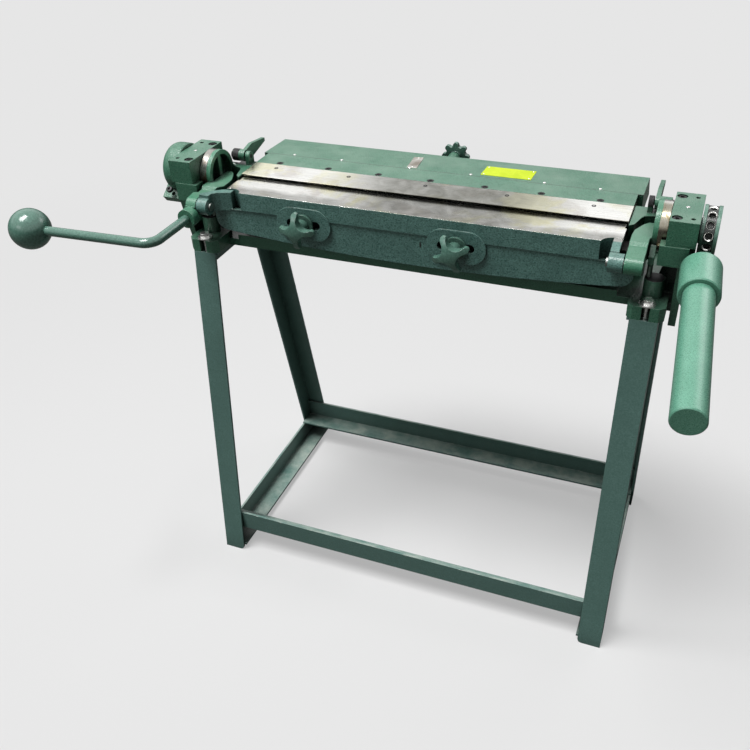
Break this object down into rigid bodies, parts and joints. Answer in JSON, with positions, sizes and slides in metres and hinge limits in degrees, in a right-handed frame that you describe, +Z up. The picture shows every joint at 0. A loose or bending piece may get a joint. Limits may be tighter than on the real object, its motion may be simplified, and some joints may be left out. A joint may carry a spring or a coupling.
{
  "type": "bar folder",
  "caption": "Hand bar folder for sheet metal: a wing swings on trunnions in front of a fixed folding blade, on an angle-iron stand, with a ball-ended handle and a balance bar.",
  "frame": {"origin": "on the floor, under the middle of the machine's whole box, handle and balance bar included", "axes": "+X along the folding blade to the operator's right, +Y from the operator to the back, +Z up"},
  "size_m": [1.336, 0.7898, 0.9725],
  "materials": {
    "hammered_paint": "dark green hammered enamel",
    "machined_steel": "machined steel with an oil film",
    "bright_zinc": "bright zinc",
    "dark_steel": "dark oiled steel"
  },
  "bodies": {
    "frame": {"front_left_leg": "hammered_paint", "front_right_leg": "hammered_paint", "back_left_leg": "hammered_paint", "back_right_leg": "hammered_paint", "left_bottom_rail": "hammered_paint", "right_bottom_rail": "hammered_paint", "front_bottom_rail": "hammered_paint", "back_bottom_rail": "hammered_paint", "left_top_rail": "hammered_paint", "right_top_rail": "hammered_paint", "left_end_frame": "hammered_paint", "right_end_frame": "hammered_paint", "left_bearing_cap": "hammered_paint", "right_bearing_cap": "hammered_paint", "left_lever_pin": "dark_steel", "right_lever_pin": "dark_steel", "foot_bolts": "bright_zinc", "bed": "hammered_paint", "jaw": "machined_steel", "folding_blade": "machined_steel", "blade_holder": "hammered_paint", "gauge_bar": "machined_steel", "back_cover": "hammered_paint"},
    "swing_bar": {"left_end_disc": "hammered_paint", "right_end_disc": "hammered_paint", "left_hinge_pin": "dark_steel", "right_hinge_pin": "dark_steel", "folding_bar": "dark_steel", "wedge_bar": "dark_steel", "wing": "hammered_paint", "left_stud": "bright_zinc", "right_stud": "bright_zinc", "handle_rod": "hammered_paint", "handle_ball": "hammered_paint", "left_collar": "hammered_paint", "stop_drum": "machined_steel", "weight_socket": "hammered_paint", "weight_bar": "hammered_paint"},
    "left_knob": {"left_star_knob": "hammered_paint"},
    "right_knob": {"right_star_knob": "hammered_paint"},
    "gauge": {"gauge_screw": "dark_steel", "gauge_knob": "hammered_paint"},
    "left_lever": {"left_stop_lever": "hammered_paint"},
    "right_lever": {"right_stop_lever": "hammered_paint"}
  },
  "joints": [
    {"name": "bar_swing", "type": "hinge", "parent": "frame", "child": "swing_bar", "pos_m": [0.09745, 0.06986, 0.9215], "axis": [-1, 0, 0], "range_deg": [0, 145]},
    {"name": "left_knob_turn", "type": "hinge", "parent": "swing_bar", "child": "left_knob", "pos_m": [-0.11955, -0.01394, 0.868], "axis": [0, -1, 0], "continuous": true},
    {"name": "right_knob_turn", "type": "hinge", "parent": "swing_bar", "child": "right_knob", "pos_m": [0.19245, -0.01394, 0.865], "axis": [0, -1, 0], "continuous": true},
    {"name": "gauge_turn", "type": "hinge", "parent": "frame", "child": "gauge", "pos_m": [0.08445, 0.31986, 0.904], "axis": [0, 1, 0], "continuous": true},
    {"name": "left_lever_lift", "type": "hinge", "parent": "frame", "child": "left_lever", "pos_m": [-0.32805, 0.13186, 0.9365], "axis": [1, 0, 0], "range_deg": [0, 30]},
    {"name": "right_lever_lift", "type": "hinge", "parent": "frame", "child": "right_lever", "pos_m": [0.53795, 0.13186, 0.9365], "axis": [1, 0, 0], "range_deg": [0, 30]}
  ]
}
